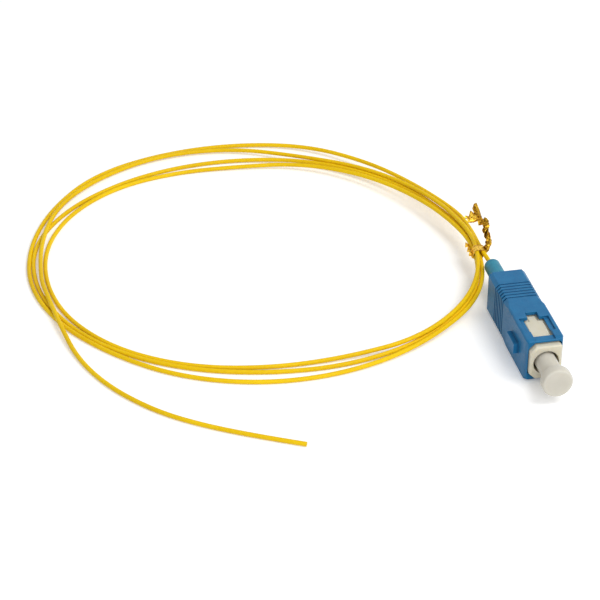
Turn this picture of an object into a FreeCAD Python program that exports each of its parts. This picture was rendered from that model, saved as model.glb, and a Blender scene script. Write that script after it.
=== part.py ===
"""Fibre optic pigtail: a push-pull connector with a dust cap and a coiled, tied fibre.

Frame: +X out of the connector's nose, +Z up, z = 0 is the surface it lies on, and the origin is on that
surface under the grip, 12.5 mm in front of its rear end. Millimetres.
"""
import FreeCAD, Part
import math
import os
import Sketcher

Vector = FreeCAD.Vector
doc = FreeCAD.newDocument("FibrePigtail")

# Driving dimensions: name in the sheet, millimetres, what it is
SIZES = (
    ("grip_setback", 12.5, "grip's rear end behind the origin"),
    ("grip_side_wall", 0.5, "grip's wall on its wide faces, at the front"),
    ("grip_roof", 0.7, "grip's wall on its narrow faces"),
    ("grip_end_wall", 4.3, "grip's rear end wall"),
    ("rear_length", 11.2, "ribbed rear part of the grip"),
    ("rear_chamfer", 0.7, "long edges of the rear part"),
    ("overcut", 0.05, "how far a cut along an edge starts outside it"),
    ("blend_length", 1.9, "slope from the rear part to the front part"),
    ("front_chamfer", 0.25, "long edges of the front part"),
    ("mouth_length", 0.9, "bevel at the grip's mouth, along the axis"),
    ("mouth_wall", 0.15, "grip's wall at the rim of its mouth"),
    ("rib_start", 4.7, "rear end of the grip to the first groove"),
    ("rib_pitch", 1.0, "groove to groove"),
    ("rib_groove", 0.38, "width of a groove"),
    ("rib_depth", 0.22, "depth of a groove"),
    ("window_bar", 1.85, "grip's bar in front of the window"),
    ("window_length", 6.1, "wide part of the window"),
    ("window_ledge", 1.2, "grip's roof left beside the window"),
    ("notch_length", 1.75, "narrow rear part of the window"),
    ("notch_width", 2.3, "narrow rear part of the window, across"),
    ("recess_depth", 0.4, "recess round the window, into the roof"),
    ("recess_length", 4.85, "wide part of the recess"),
    ("recess_ledge", 0.3, "grip's roof left beside the recess"),
    ("recess_lip", 0.3, "grip's lip in front of the recess"),
    ("key_start", 4.6, "mouth of the grip to the key"),
    ("key_length", 4.6, "key on one wide face"),
    ("key_width", 2.2, "key, across"),
    ("key_height", 1.0, "key, out of the wall"),
    ("corner_step", 0.05, "grip's inner corners, cut deeper than the frame's"),
    ("side_gap", 0.1, "grip to frame, each wide side"),
    ("top_gap", 0.3, "grip to frame, each narrow side"),
    ("step_gap", 0.2, "grip's inner step to the frame's collar"),
    ("grip_float", 1.0, "grip's inner end wall to the stop ring"),
    ("grip_travel", 2.0, "how far the grip can go back"),
    ("stop_setback", 2.9, "grip's inner step to the groove for the retaining tab"),
    ("stop_length", 1.2, "retaining tab along the axis"),
    ("stop_width", 1.2, "retaining tab, across"),
    ("stop_height", 0.4, "retaining tab, out of the frame's side"),
    ("stop_play", 0.05, "retaining tab to each end of its groove"),
    ("stop_clear", 0.1, "retaining tab to the floor and the sides of its groove"),
    ("frame_reach", 1.1, "frame's nose in front of the grip"),
    ("frame_wall", 0.65, "frame beside its chamber"),
    ("frame_roof", 1.4, "frame above its chamber"),
    ("frame_corner", 1.15, "cut corners of the frame on the key's side"),
    ("frame_edge", 0.4, "cut corners of the frame on the other side"),
    ("frame_lip", 0.25, "bevel round the nose"),
    ("collar_step", 0.35, "frame's front collar, wider on each side"),
    ("nose_wall", 0.6, "collar beside the nose bore"),
    ("latch_gap", 0.1, "latch block to the grip's roof"),
    ("latch_setback", 3.45, "nose to the latch block"),
    ("latch_length", 5.5, "wide part of the latch block"),
    ("latch_width", 3.9, "wide part of the latch block, across"),
    ("latch_bevel", 0.3, "bevel round the top of the latch block"),
    ("tongue_length", 1.85, "narrow rear part of the latch block"),
    ("tongue_width", 2.0, "narrow rear part of the latch block, across"),
    ("web_thickness", 1.4, "wall that stops the flange"),
    ("web_clear", 0.35, "ferrule to the hole in that wall"),
    ("ferrule_diameter", 2.5, "ferrule"),
    ("ferrule_bare", 7.25, "ferrule in front of its flange"),
    ("ferrule_seat", 3.25, "ferrule inside its flange"),
    ("ferrule_reach", 0.5, "ferrule's tip in front of the frame's nose"),
    ("ferrule_bevel", 0.3, "edges of the ferrule"),
    ("glass_diameter", 0.125, "bare glass"),
    ("fibre_diameter", 0.9, "tight buffer of the fibre"),
    ("flange_bearing", 0.35, "flange's shoulder on the wall that stops it"),
    ("flange_clear", 0.15, "flange to the chamber's wall"),
    ("flange_length", 2.0, "flange collar"),
    ("flange_gap", 0.05, "flange to the wall that stops it"),
    ("barrel_wall", 0.4, "flange round the ferrule's end"),
    ("socket_floor", 1.0, "flange behind the ferrule's end"),
    ("tail_wall", 0.55, "flange's tail tube round the fibre"),
    ("tail_overlap", 0.7, "tail tube inside the stop ring"),
    ("tail_spare", 0.7, "room behind the tail tube when it is fully back"),
    ("retraction", 1.0, "how far the ferrule can go back"),
    ("spring_length", 6.8, "room for the spring"),
    ("spring_clear", 0.35, "spring to the tail tube"),
    ("spring_wire", 0.35, "spring wire"),
    ("spring_seat", 0.02, "gap at each end of the spring"),
    ("ring_insert", 2.2, "stop ring inside the frame"),
    ("ring_clear", 0.2, "stop ring to the tail tube"),
    ("ring_play", 0.2, "stop ring to the fibre"),
    ("snap_depth", 0.15, "snap ridge of the stop ring"),
    ("snap_width", 0.6, "snap ridge along the axis"),
    ("shoulder_length", 1.2, "stop ring's shoulder"),
    ("shoulder_inset", 0.15, "stop ring's shoulder below the frame's sides"),
    ("stub_length", 6.3, "stop ring's rear stub"),
    ("stub_wall", 0.45, "stop ring's rear stub round its hole"),
    ("boot_reach", 10.0, "boot behind the grip"),
    ("boot_wall", 0.62, "boot round the stub"),
    ("boot_taper", 0.1, "boot's end below its root"),
    ("boot_round", 0.5, "rounded rear edge of the boot"),
    ("boot_hold", 2.3, "length of boot that holds the fibre"),
    ("boot_clear", 0.25, "boot to the grip's rear hole"),
    ("fibre_play", 0.06, "fibre to its hole where it slides"),
    ("fibre_gap", 0.2, "room behind the inner fibre when it is fully back"),
    ("cap_end_gap", 0.3, "cap's end to the wall in the nose bore when the ferrule is fully back"),
    ("cap_reach", 7.4, "cap in front of the frame's nose"),
    ("cap_clear", 0.5, "cap's tube to the nose bore"),
    ("cap_rim", 0.95, "cap's head, wider than its tube on each side"),
    ("cap_head", 2.3, "thickness of the cap's head"),
    ("cap_round", 0.45, "rounded edges of the cap's head"),
    ("cap_fit", 0.02, "cap's hole to the ferrule"),
    ("cap_air", 0.6, "room in front of the ferrule's tip"),
    ("coil_radius", 45.0, "coil, to the middle of its turns"),
    ("bundle_diameter", 2.3, "bundle of fibre inside the tie"),
    ("coil_setback", 8.07, "boot's end to the coil's first section"),
    ("tie_setback", 5.8, "boot's end to the tie"),
    ("tie_band_width", 1.7, "tie's band along the bundle"),
    ("tie_gauge", 0.25, "tie's foil, doubled"),
    ("tie_strip", 1.1, "tie's strip, across"),
)
RIB_COUNT = 6
SPRING_TURNS = 5
WIRE_SIDES = 6

sheet = doc.addObject("Spreadsheet::Sheet", "Sizes")
for row, (alias, length, note) in enumerate(SIZES, start=1):
    sheet.set("A%d" % row, note)
    sheet.set("B%d" % row, str(length))
    sheet.setAlias("B%d" % row, alias)
doc.recompute()


class Dim:
    """A length: its formula in the sheet's names, and its value now."""

    def __init__(self, formula, value):
        self.formula = formula
        self.value = value

    def joined(self, sign, other, value):
        return Dim("(%s %s %s)" % (self.formula, sign, other.formula), value)

    def __add__(self, other):
        other = as_dim(other)
        return self.joined("+", other, self.value + other.value)

    def __sub__(self, other):
        other = as_dim(other)
        return self.joined("-", other, self.value - other.value)

    def __mul__(self, other):
        other = as_dim(other)
        return self.joined("*", other, self.value * other.value)

    def __truediv__(self, other):
        other = as_dim(other)
        return self.joined("/", other, self.value / other.value)

    def __neg__(self):
        return Dim("(-1 * %s)" % self.formula, -self.value)


def as_dim(number):
    return number if isinstance(number, Dim) else Dim(repr(float(number)), float(number))


def size(alias):
    return Dim("Sizes." + alias, float(sheet.get(alias)))


ZERO = as_dim(0)


def bind(thing, prop, length):
    """Set a property of an object to a length, by its formula."""
    thing.setExpression(prop, as_dim(length).formula)


# Sizes that follow from the ferrule outwards
glass_radius = size("glass_diameter") / 2
fibre_radius = size("fibre_diameter") / 2
ferrule_radius = size("ferrule_diameter") / 2
web_radius = ferrule_radius + size("web_clear")
flange_radius = web_radius + size("flange_bearing")
chamber_radius = flange_radius + size("flange_clear")
barrel_radius = ferrule_radius + size("barrel_wall")
tail_radius = fibre_radius + size("tail_wall")
body_width = (chamber_radius + size("frame_wall")) * 2
frame_width = body_width + size("collar_step") * 2
frame_height = (chamber_radius + size("frame_roof")) * 2
bore_radius = frame_width / 2 - size("nose_wall")
rear_room = body_width + size("side_gap") * 2
front_room = frame_width + size("side_gap") * 2
room_height = frame_height + size("top_gap") * 2
grip_width = front_room + size("grip_side_wall") * 2
grip_height = room_height + size("grip_roof") * 2
ring_hole_radius = fibre_radius + size("ring_play")
stub_radius = ring_hole_radius + size("stub_wall")
boot_radius = stub_radius + size("boot_wall")
bundle_radius = size("bundle_diameter") / 2

# Places along the connector's axis, from the nose back
grip_length = (size("ferrule_bare") + size("ferrule_seat") + size("socket_floor") + size("spring_length")
               + size("ring_insert") + size("shoulder_length") + size("grip_float") + size("grip_end_wall")
               - size("frame_reach") - size("ferrule_reach"))
axis_height = grip_height / 2
grip_rear = -size("grip_setback")
grip_front = grip_rear + grip_length
nose = grip_front + size("frame_reach")
ferrule_tip = nose + size("ferrule_reach")
flange_front = ferrule_tip - size("ferrule_bare")
flange_back = flange_front - size("flange_length")
web_back = flange_front + size("flange_gap")
web_front = web_back + size("web_thickness")
inner_step = web_front - size("step_gap")
ferrule_back = flange_front - size("ferrule_seat")
barrel_back = ferrule_back - size("socket_floor")
ring_front = barrel_back - size("spring_length")
tail_back = ring_front - size("tail_overlap")
ring_bore_back = tail_back - size("retraction") - size("tail_spare")
frame_back = ring_front - size("ring_insert")
snap_front = frame_back + size("ring_insert") / 2 + size("snap_width") / 2
snap_back = snap_front - size("snap_width")
shoulder_back = frame_back - size("shoulder_length")
room_back = shoulder_back - size("grip_float")
stub_back = shoulder_back - size("stub_length")
boot_back = grip_rear - size("boot_reach")
fibre_held = boot_back + size("boot_hold")
cap_back = web_front + size("retraction") + size("cap_end_gap")
cap_front = nose + size("cap_reach")
stop_groove_front = inner_step - size("stop_setback")
stop_front = stop_groove_front - size("grip_travel") - size("stop_play")
stop_rear = stop_front - size("stop_length")
stop_groove_rear = stop_rear - size("stop_play")


# Helpers for bodies, sketches and features
def new_body(label):
    """A body whose own X axis is the connector's axis."""
    body = doc.addObject("PartDesign::Body", label)
    body.Label = label
    bind(body, "Placement.Base.z", axis_height)
    return body


def origin_plane(body, role):
    return [plane for plane in body.Origin.OriginFeatures if plane.Role == role][0]


def sketch_on(body, role, name, offset=ZERO):
    """An empty sketch on an origin plane of the body, moved along that plane's normal."""
    sketch = body.newObject("Sketcher::SketchObject", name)
    sketch.AttachmentSupport = (origin_plane(body, role), [""])
    sketch.MapMode = "FlatFace"
    bind(sketch, "AttachmentOffset.Base.z", offset)
    return sketch


def fix_point(sketch, geometry, end, across, up):
    """Hold one point of a sketch by two distances from the sketch's origin."""
    for kind, axis, length in (("DistanceX", -2, across), ("DistanceY", -1, up)):
        if length.formula == ZERO.formula:
            sketch.addConstraint(Sketcher.Constraint("PointOnObject", geometry, end, axis))
            continue
        number = sketch.addConstraint(Sketcher.Constraint(kind, -1, 1, geometry, end, length.value))
        sketch.setExpression("Constraints[%d]" % number, length.formula)


def outline(sketch, points):
    """A closed outline of straight lines through points that are pairs of lengths."""
    first = sketch.GeometryCount
    count = len(points)
    places = [Vector(across.value, up.value, 0) for across, up in points]
    for k in range(count):
        sketch.addGeometry(Part.LineSegment(places[k], places[(k + 1) % count]), False)
    for k in range(count):
        sketch.addConstraint(Sketcher.Constraint("Coincident", first + k, 2, first + (k + 1) % count, 1))
    for k, (across, up) in enumerate(points):
        fix_point(sketch, first + k, 1, across, up)


def circle(sketch, radius):
    """A circle about the sketch's origin."""
    number = sketch.addGeometry(Part.Circle(Vector(0, 0, 0), Vector(0, 0, 1), radius.value), False)
    fix_point(sketch, number, 3, ZERO, ZERO)
    constraint = sketch.addConstraint(Sketcher.Constraint("Radius", number, radius.value))
    sketch.setExpression("Constraints[%d]" % constraint, radius.formula)


def keyed(width, height, near, far):
    """A rectangle about the axis with cut corners, near ones on the key's side and far ones opposite."""
    half_width = width / 2
    half_height = height / 2
    near_width = near - half_width
    far_width = half_width - far
    near_height = half_height - near
    far_height = half_height - far
    return [(half_width, -far_height), (half_width, far_height), (far_width, half_height),
            (near_width, half_height), (-half_width, near_height), (-half_width, -near_height),
            (near_width, -half_height), (far_width, -half_height)]


def eight_sided(width, height, corner):
    """A rectangle about the axis with four equal cut corners."""
    return keyed(width, height, corner, corner)


def rectangle(left, right, low, high):
    return [(left, low), (right, low), (right, high), (left, high)]


def tee(front, back, tongue_back, wide, narrow):
    """A wide rectangle with a narrow tongue behind it, by half widths."""
    return [(tongue_back, -narrow), (back, -narrow), (back, -wide), (front, -wide),
            (front, wide), (back, wide), (back, narrow), (tongue_back, narrow)]


def stepped(front, middle, back, narrow, wide):
    """A wide rectangle with a narrower one in front of it, by half widths."""
    return [(back, -wide), (middle, -wide), (middle, -narrow), (front, -narrow),
            (front, narrow), (middle, narrow), (middle, wide), (back, wide)]


def rounded_edge(end, radius, rounding, inward):
    """Three points of a rounded edge of a turned piece: on the end face, halfway and on the side."""
    part_way = rounding * (1 - math.cos(math.pi / 4))
    return [(end, radius - rounding), (end + part_way * inward, radius - part_way),
            (end + rounding * inward, radius)]


def section(body, name, place, points):
    """A section across the connector at a place along its axis."""
    sketch = sketch_on(body, "YZ_Plane", name, place)
    outline(sketch, points)
    return sketch


def pad(body, name, sketch, length, midplane=False):
    feature = body.newObject("PartDesign::Pad", name)
    feature.Profile = sketch
    feature.Midplane = midplane
    bind(feature, "Length", length)
    return feature


def pocket(body, name, sketch, length, midplane=False, reverse=False):
    feature = body.newObject("PartDesign::Pocket", name)
    feature.Profile = sketch
    feature.Midplane = midplane
    feature.Reversed = reverse
    bind(feature, "Length", length)
    return feature


def loft(body, kind, name, sections):
    feature = body.newObject(kind, name)
    feature.Profile = sections[0]
    feature.Sections = sections[1:]
    feature.Ruled = True
    return feature


def revolved(body, kind, name, points):
    """A revolution or groove about the connector's axis of an outline of places and radii."""
    sketch = sketch_on(body, "XZ_Plane", name + "_profile")
    outline(sketch, points)
    feature = body.newObject(kind, name)
    feature.Profile = sketch
    feature.ReferenceAxis = (sketch, ["H_Axis"])
    feature.Angle = 360
    return feature


def turned(label, points):
    """A turned piece about the connector's axis."""
    body = new_body(label)
    revolved(body, "PartDesign::Revolution", label + "_turned", points)
    return body


# The grip: a ribbed hollow shell with windows and a key
def cut_long_edge(body, side, top):
    """Cut one long edge of the grip's ribbed rear, sloping out to the sharper edge of its front."""
    rear_end = grip_rear + size("rear_length")
    front_start = rear_end + size("blend_length")
    sections = []
    for place, chamfer in ((grip_rear, size("rear_chamfer")), (rear_end, size("rear_chamfer")),
                           (front_start, size("front_chamfer"))):
        across = grip_width / 2 + size("overcut")
        up = grip_height / 2 + size("overcut")
        inner_across = across - chamfer - size("overcut") * 2
        inner_up = up - chamfer - size("overcut") * 2
        corners = [(inner_across, up), (across, inner_up), (across, up)]
        sections.append(section(body, "edge_section", place, [(a * side, u * top) for a, u in corners]))
    loft(body, "PartDesign::SubtractiveLoft", "long_edge", sections)


def make_outer_housing():
    body = new_body("outer_housing")
    rim = (size("grip_side_wall") - size("mouth_wall")) * 2
    mouth_start = grip_front - size("mouth_length")
    front_outline = eight_sided(grip_width, grip_height, size("front_chamfer"))
    mouth_outline = eight_sided(grip_width - rim, grip_height - rim, size("front_chamfer"))
    pad(body, "block", section(body, "block_section", grip_rear, front_outline), mouth_start - grip_rear)
    mouth_sections = [section(body, "mouth_back", mouth_start, front_outline),
                      section(body, "mouth_rim", grip_front, mouth_outline)]
    loft(body, "PartDesign::AdditiveLoft", "mouth", mouth_sections)
    for side in (1, -1):
        for top in (1, -1):
            cut_long_edge(body, side, top)

    near_face = sketch_on(body, "XZ_Plane", "key_sketch", grip_width / 2)
    key_front = grip_front - size("key_start")
    half_key = size("key_width") / 2
    outline(near_face, rectangle(key_front - size("key_length"), key_front, -half_key, half_key))
    pad(body, "key", near_face, size("key_height"))

    groove = section(body, "rib_section", grip_rear + size("rib_start"),
                     eight_sided(grip_width * 2, grip_height * 2, size("rear_chamfer")))
    cut = size("rib_depth") * 2
    outline(groove, eight_sided(grip_width - cut, grip_height - cut, size("rear_chamfer")))
    first_groove = pocket(body, "rib_groove", groove, size("rib_groove"), reverse=True)
    doc.recompute()
    ribs = body.newObject("PartDesign::LinearPattern", "rib_grooves")
    ribs.Originals = [first_groove]
    ribs.Direction = (groove, ["N_Axis"])
    ribs.Occurrences = RIB_COUNT
    bind(ribs, "Length", size("rib_pitch") * (RIB_COUNT - 1))
    body.Tip = ribs

    near_corner = size("frame_corner") + size("corner_step")
    far_corner = size("frame_edge") + size("corner_step")
    wide_room = keyed(front_room, room_height, near_corner, far_corner)
    narrow_room = keyed(rear_room, room_height, near_corner, far_corner)
    front_cut = section(body, "front_room_section", grip_front, wide_room)
    pocket(body, "front_room", front_cut, grip_front - inner_step)
    rear_cut = section(body, "rear_room_section", inner_step, narrow_room)
    pocket(body, "rear_room", rear_cut, inner_step - room_back)
    hole = sketch_on(body, "YZ_Plane", "rear_hole_sketch", room_back)
    circle(hole, boot_radius + size("boot_clear"))
    pocket(body, "rear_hole", hole, room_back - grip_rear)

    window = sketch_on(body, "XY_Plane", "window_sketch")
    window_front = grip_front - size("window_bar")
    window_rear = window_front - size("window_length")
    outline(window, tee(window_front, window_rear, window_rear - size("notch_length"),
                        front_room / 2 - size("window_ledge"), size("notch_width") / 2))
    pocket(body, "windows", window, grip_height * 2, midplane=True)
    recess_front = grip_front - size("recess_lip")
    recess_middle = window_rear + size("recess_length")
    recess_outline = stepped(recess_front, recess_middle, window_rear, front_room / 2 - size("window_ledge"),
                             front_room / 2 - size("recess_ledge"))
    for top in (1, -1):
        face = sketch_on(body, "XY_Plane", "recess_sketch", grip_height / 2 * top)
        outline(face, recess_outline)
        pocket(body, "recess", face, size("recess_depth"), reverse=top < 0)

    inner_face = sketch_on(body, "XZ_Plane", "stop_groove_sketch", rear_room / 2)
    half_groove = size("stop_width") / 2 + size("stop_clear")
    outline(inner_face, rectangle(stop_groove_rear, stop_groove_front, -half_groove, half_groove))
    groove_depth = size("stop_height") - size("side_gap") + size("stop_clear")
    pocket(body, "stop_groove", inner_face, groove_depth, reverse=True)
    return body


# The plug frame: collar, narrow body, latch blocks and retaining tab round one stepped bore
def latch_outline(inset):
    """The latch block seen from above, smaller by an inset all round."""
    front = nose - size("latch_setback") - inset
    rear = nose - size("latch_setback") - size("latch_length") + inset
    return tee(front, rear, rear - size("tongue_length"), size("latch_width") / 2 - inset,
               size("tongue_width") / 2 - inset)


def make_plug_frame():
    body = new_body("plug_frame")
    near = size("frame_corner")
    far = size("frame_edge")
    lip = size("frame_lip")
    lip_start = nose - lip
    collar_outline = keyed(frame_width, frame_height, near, far)
    nose_outline = keyed(frame_width - lip * 2, frame_height - lip * 2, near, far)
    pad(body, "collar", section(body, "collar_section", web_front, collar_outline), lip_start - web_front)
    lip_sections = [section(body, "lip_section", lip_start, collar_outline),
                    section(body, "nose_section", nose, nose_outline)]
    loft(body, "PartDesign::AdditiveLoft", "nose_lip", lip_sections)
    rear_outline = keyed(body_width, frame_height, near, far)
    pad(body, "rear_body", section(body, "rear_section", frame_back, rear_outline), web_front - frame_back)

    latch = sketch_on(body, "XY_Plane", "latch_sketch")
    bevel = size("latch_bevel")
    latch_top = room_height / 2 - size("latch_gap")
    outline(latch, latch_outline(ZERO))
    pad(body, "latch_blocks", latch, (latch_top - bevel) * 2, midplane=True)
    for top in (1, -1):
        bevel_sections = []
        for height, inset in ((latch_top - bevel, ZERO), (latch_top, bevel)):
            level = sketch_on(body, "XY_Plane", "latch_level", height * top)
            outline(level, latch_outline(inset))
            bevel_sections.append(level)
        loft(body, "PartDesign::AdditiveLoft", "latch_top", bevel_sections)

    near_side = sketch_on(body, "XZ_Plane", "stop_sketch", body_width / 2)
    half_stop = size("stop_width") / 2
    outline(near_side, rectangle(stop_rear, stop_front, -half_stop, half_stop))
    pad(body, "stop_tab", near_side, size("stop_height"))

    snap_radius = chamber_radius + size("snap_depth")
    revolved(body, "PartDesign::Groove", "stepped_bore",
             [(frame_back, ZERO), (nose, ZERO), (nose, bore_radius), (web_front, bore_radius),
              (web_front, web_radius), (web_back, web_radius), (web_back, chamber_radius),
              (snap_front, chamber_radius), (snap_front, snap_radius), (snap_back, snap_radius),
              (snap_back, chamber_radius), (frame_back, chamber_radius)])
    return body


# The ferrule and what moves with it
def make_ferrule():
    bevel = size("ferrule_bevel")
    end_radius = ferrule_radius - bevel
    return turned("ferrule", [(ferrule_back, glass_radius), (ferrule_tip, glass_radius),
                              (ferrule_tip, end_radius), (ferrule_tip - bevel, ferrule_radius),
                              (ferrule_back + bevel, ferrule_radius), (ferrule_back, end_radius)])


def make_glass_fibre():
    return turned("glass_fibre", [(ferrule_back, ZERO), (ferrule_tip, ZERO), (ferrule_tip, glass_radius),
                                  (ferrule_back, glass_radius)])


def make_ferrule_flange():
    return turned("ferrule_flange", [(tail_back, fibre_radius), (ferrule_back, fibre_radius),
                                     (ferrule_back, ferrule_radius), (flange_front, ferrule_radius),
                                     (flange_front, flange_radius), (flange_back, flange_radius),
                                     (flange_back, barrel_radius), (barrel_back, barrel_radius),
                                     (barrel_back, tail_radius), (tail_back, tail_radius)])


def make_inner_fibre():
    """The fibre from the ferrule's back into the boot, short enough for the ferrule to go back."""
    back = fibre_held + size("retraction") + size("fibre_gap")
    return turned("inner_fibre", [(back, ZERO), (ferrule_back, ZERO), (ferrule_back, fibre_radius),
                                  (back, fibre_radius)])


# The spring, the ring that it stands on and the boot
def make_spring():
    body = new_body("spring")
    wire = size("spring_wire") / 2
    start = ring_front + wire + size("spring_seat")
    middle = tail_radius + size("spring_clear") + wire
    profile = sketch_on(body, "XZ_Plane", "wire_section")
    turn = 2 * math.pi / WIRE_SIDES
    outline(profile, [(start + wire * math.cos(turn * side), middle + wire * math.sin(turn * side))
                      for side in range(WIRE_SIDES)])
    coil = body.newObject("PartDesign::AdditiveHelix", "spring_coil")
    coil.Profile = profile
    coil.ReferenceAxis = (profile, ["H_Axis"])
    coil.Mode = "height-turns-angle"
    coil.Turns = SPRING_TURNS
    bind(coil, "Height", size("spring_length") - size("spring_wire") - size("spring_seat") * 2)
    return body


def make_stop_ring():
    snap_radius = chamber_radius + size("snap_depth")
    ring_bore_radius = tail_radius + size("ring_clear")
    shoulder_radius = body_width / 2 - size("shoulder_inset")
    return turned("stop_ring", [(stub_back, ring_hole_radius), (ring_bore_back, ring_hole_radius),
                                (ring_bore_back, ring_bore_radius), (ring_front, ring_bore_radius),
                                (ring_front, chamber_radius), (snap_front, chamber_radius),
                                (snap_front, snap_radius), (snap_back, snap_radius),
                                (snap_back, chamber_radius), (frame_back, chamber_radius),
                                (frame_back, shoulder_radius),
                                (shoulder_back, shoulder_radius), (shoulder_back, stub_radius),
                                (stub_back, stub_radius)])


def make_boot():
    sliding = fibre_radius + size("fibre_play")
    end_radius = boot_radius - size("boot_taper")
    edge = rounded_edge(boot_back, end_radius, size("boot_round"), 1)
    return turned("boot", [(boot_back, fibre_radius), (fibre_held, fibre_radius), (fibre_held, sliding),
                           (stub_back, sliding), (stub_back, stub_radius), (shoulder_back, stub_radius),
                           (shoulder_back, boot_radius)] + edge[::-1])


def make_dust_cap():
    tube_radius = bore_radius - size("cap_clear")
    head_radius = tube_radius + size("cap_rim")
    head_back = cap_front - size("cap_head")
    hole_radius = ferrule_radius + size("cap_fit")
    hole_end = ferrule_tip + size("cap_air")
    front_edge = rounded_edge(cap_front, head_radius, size("cap_round"), -1)
    back_edge = rounded_edge(head_back, head_radius, size("cap_round"), 1)
    return turned("dust_cap", [(cap_back, hole_radius), (hole_end, hole_radius), (hole_end, ZERO),
                               (cap_front, ZERO)] + front_edge + back_edge[::-1]
                  + [(head_back, tube_radius), (cap_back, tube_radius)])


# The fibre's route, millimetres: chosen by hand from the photograph
ARC_SHARE = 0.45
COIL_ACROSS = -0.92
TIE_ACROSS = -1.3
# The lead's points as places from the boot's end, and its end as a place from the middle of the tie
LEAD_POINTS = ((-0.6, 0.0), (-3.0, -0.15))
LEAD_END = (0.17, 0.32, 0.0)
# The tail leaves the coil at this angle, and its points are places from there and lifts off the floor
TAIL_LEAVES = 283
TAIL_POINTS = ((0.0, 0.0, 0.15), (11.0, 1.4, 0.0), (22.0, 3.4, 0.0), (32.5, 7.8, 0.0),
               (41.5, 14.5, 0.0), (47.7, 21.6, 0.0), (53.9, 31.7, 0.0), (58.5, 40.8, 0.0))
# The coil's outer shape in even steps from its start: how far its middle is outside the coil's radius,
# spread of the turns, lift off the floor
COIL_START = 74
COIL_STEP = 20
COIL_STATIONS = (
    (1.9, 0.0, 3.2), (-1.6, 0.4, 2.6), (-2.9, 1.1, 1.75), (-2.2, 2.3, 0.9), (-1.2, 3.8, 0.25),
    (-1.6, 4.8, 0.0), (-1.2, 4.1, 0.0), (-0.3, 3.1, 0.0), (-0.8, 1.8, 0.0), (-1.1, 1.1, 0.0),
    (-1.0, 1.1, 0.0), (-0.9, 0.7, 0.0), (-0.2, 0.6, 0.0), (0.4, 1.1, 0.0), (0.4, 1.9, 0.0),
    (0.9, 1.7, 0.0), (2.9, 0.4, 0.2), (3.8, 0.1, 2.0),
)
SECTIONS_PER_STEP = 2
COIL_SIDES = 12
# The tie's strip, as places from the side of its band, its turn from point to point, and the fan's corners
TIE_STRIP_POINTS = ((0.0, 0.0, 0.0), (0.0, 1.0, 0.3), (-0.5, 1.5, 1.9), (-1.4, 1.0, 3.4),
                    (-2.3, 1.4, 4.6), (-3.0, 0.8, 5.5))
TIE_TWIST = 65
TIE_FAN_POINTS = ((-3.0, 1.2, 5.1), (-3.5, -0.9, 9.8), (-3.3, -1.1, 7.4), (-3.2, -3.3, 6.4),
                  (-3.1, -1.9, 4.9))


def tube_path(label, points):
    """Straight runs joined by arcs as large as the runs allow."""
    places = [Vector(*point) for point in points]
    edges = []
    radii = []
    start = places[0]
    for before, corner, after in zip(places, places[1:], places[2:]):
        run_in = (corner - before).normalize()
        run_out = (after - corner).normalize()
        turn = run_in.getAngle(run_out)
        shorter = min((corner - before).Length, (after - corner).Length)
        reach = ARC_SHARE * shorter
        radius = reach / math.tan(turn / 2)
        radii.append(radius)
        arc_start = corner - run_in * reach
        arc_end = corner + run_out * reach
        bisector = (run_out - run_in).normalize()
        centre = corner + bisector * (radius / math.cos(turn / 2))
        arc_middle = centre - bisector * radius
        edges.append(Part.LineSegment(start, arc_start).toShape())
        edges.append(Part.Arc(arc_start, arc_middle, arc_end).toShape())
        start = arc_end
    edges.append(Part.LineSegment(start, places[-1]).toShape())
    print(label, "bend radii:", ", ".join("%.1f" % radius for radius in radii))
    return Part.Wire(edges)


def tube(label, points, radius):
    """A round tube along a route, with its volume set against its section times its length."""
    path = tube_path(label, points)
    direction = Vector(*points[1]) - Vector(*points[0])
    ring = Part.Wire([Part.Circle(Vector(*points[0]), direction, radius).toShape()])
    solid = path.makePipeShell([ring], True, False)
    share = solid.Volume / (math.pi * radius ** 2 * path.Length)
    print(label, "length %.1f mm, volume over section times length %.4f" % (path.Length, share))
    return solid


def make_tube(label, points):
    feature = doc.addObject("Part::Feature", label)
    feature.Label = label
    feature.Shape = tube(label, points, fibre_radius.value)
    return feature


def between(values, share):
    """A smooth curve through four evenly spaced values, part of the way from the second to the third."""
    before, start, end, after = values
    slope = end - before
    bend = 2 * before - 5 * start + 4 * end - after
    twist = 3 * (start - end) + after - before
    return start + share / 2 * (slope + share * (bend + share * twist))


def coil_station(place):
    """Radius, spread and lift of the coil at a place that counts stations from its start."""
    station = int(place)
    rows = [COIL_STATIONS[(station + k) % len(COIL_STATIONS)] for k in (-1, 0, 1, 2)]
    outside, spread, lift = (between(values, place - station) for values in zip(*rows))
    return size("coil_radius").value + outside, spread, max(lift, 0)


def outward_at(degrees):
    around = math.radians(degrees)
    return Vector(math.cos(around), math.sin(around), 0)


TIE_PLACE = Vector(boot_back.value - size("tie_setback").value, TIE_ACROSS, 0)
TIE_MIDDLE = TIE_PLACE + Vector(0, 0, bundle_radius.value + coil_station(0)[2])
COIL_PLACE = Vector(boot_back.value - size("coil_setback").value, COIL_ACROSS, 0)
COIL_MIDDLE = COIL_PLACE - outward_at(COIL_START) * coil_station(0)[0]


def make_fibre_lead():
    """The fibre from the boot's grip to the tie."""
    start = Vector(fibre_held.value, 0, axis_height.value)
    runs = [Vector(boot_back.value + along, across, axis_height.value) for along, across in LEAD_POINTS]
    return make_tube("fibre_lead", [start] + runs + [TIE_MIDDLE + Vector(*LEAD_END)])


def coil_section(place):
    """The corners of the coil's section at a place that counts stations from its start."""
    radius, spread, lift = coil_station(place)
    outward = outward_at(COIL_START + COIL_STEP * place)
    half_height = bundle_radius.value
    half_width = half_height + spread
    middle = COIL_MIDDLE + outward * radius + Vector(0, 0, half_height + lift)
    turns = [2 * math.pi * side / COIL_SIDES for side in range(COIL_SIDES)]
    return [middle + outward * (half_width * math.cos(turn)) + Vector(0, 0, half_height * math.sin(turn))
            for turn in turns]


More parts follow.
